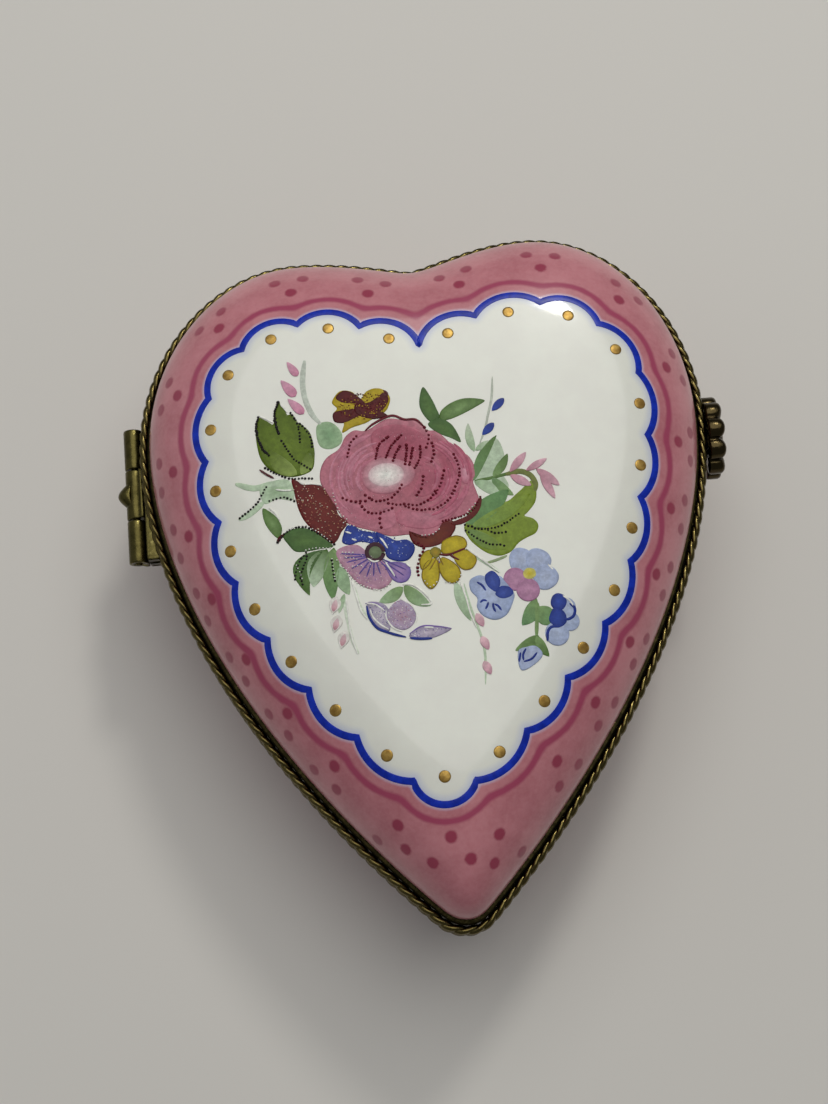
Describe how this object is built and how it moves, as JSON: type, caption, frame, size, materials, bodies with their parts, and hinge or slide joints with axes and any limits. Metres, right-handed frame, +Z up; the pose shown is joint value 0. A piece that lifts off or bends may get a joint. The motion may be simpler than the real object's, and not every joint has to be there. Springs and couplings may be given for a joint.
{
  "type": "heart-shaped trinket box",
  "caption": "Heart-shaped porcelain trinket box with a painted domed lid, brass bands with twisted edge wires, a side hinge and a rosette clasp.",
  "frame": {"origin": "on the surface it stands on, under the middle of the whole box, hinge lug and clasp rivet included", "axes": "+X towards the clasp, -X towards the hinge, +Y towards the cleft of the heart, -Y towards its tip, +Z up"},
  "size_m": [0.0568, 0.064, 0.0255],
  "materials": {
    "china_base": "pink ground with darker pink dots under a clear gloss glaze, white inside",
    "china_lid": "white porcelain with a pink border, blue scalloped line, gold dots and a painted bouquet under a clear gloss glaze",
    "brass_band": "antiqued brass, dark in the recesses",
    "brass_wire": "twisted brass wire, antiqued, bright on the crests",
    "brass_collar": "satin brass",
    "brass_hinge": "antiqued brass, rubbed brighter on the knuckles",
    "brass_clasp": "cast brass, dark patina with bright rubbed edges"
  },
  "bodies": {
    "base": {"base_bowl": "china_base", "base_band": "brass_band", "base_edge_wire": "brass_wire", "base_collar": "brass_collar", "hinge_base_plate": "brass_hinge", "hinge_knuckle_rear": "brass_hinge", "hinge_knuckle_front": "brass_hinge", "hinge_pin": "brass_hinge", "catch_bead": "brass_clasp"},
    "lid": {"lid_dome": "china_lid", "lid_band": "brass_band", "lid_edge_wire": "brass_wire", "hinge_lid_plate": "brass_hinge", "hinge_knuckle_lid": "brass_hinge", "hinge_stop_lug": "brass_hinge", "clasp_tongue": "brass_clasp", "clasp_rosette": "brass_clasp", "clasp_rivet": "brass_clasp"}
  },
  "joints": [
    {"name": "lid_hinge", "type": "hinge", "parent": "base", "child": "lid", "pos_m": [-0.02677, 0.0102, 0.015], "axis": [0, -1, 0], "range_deg": [0, 108]}
  ]
}
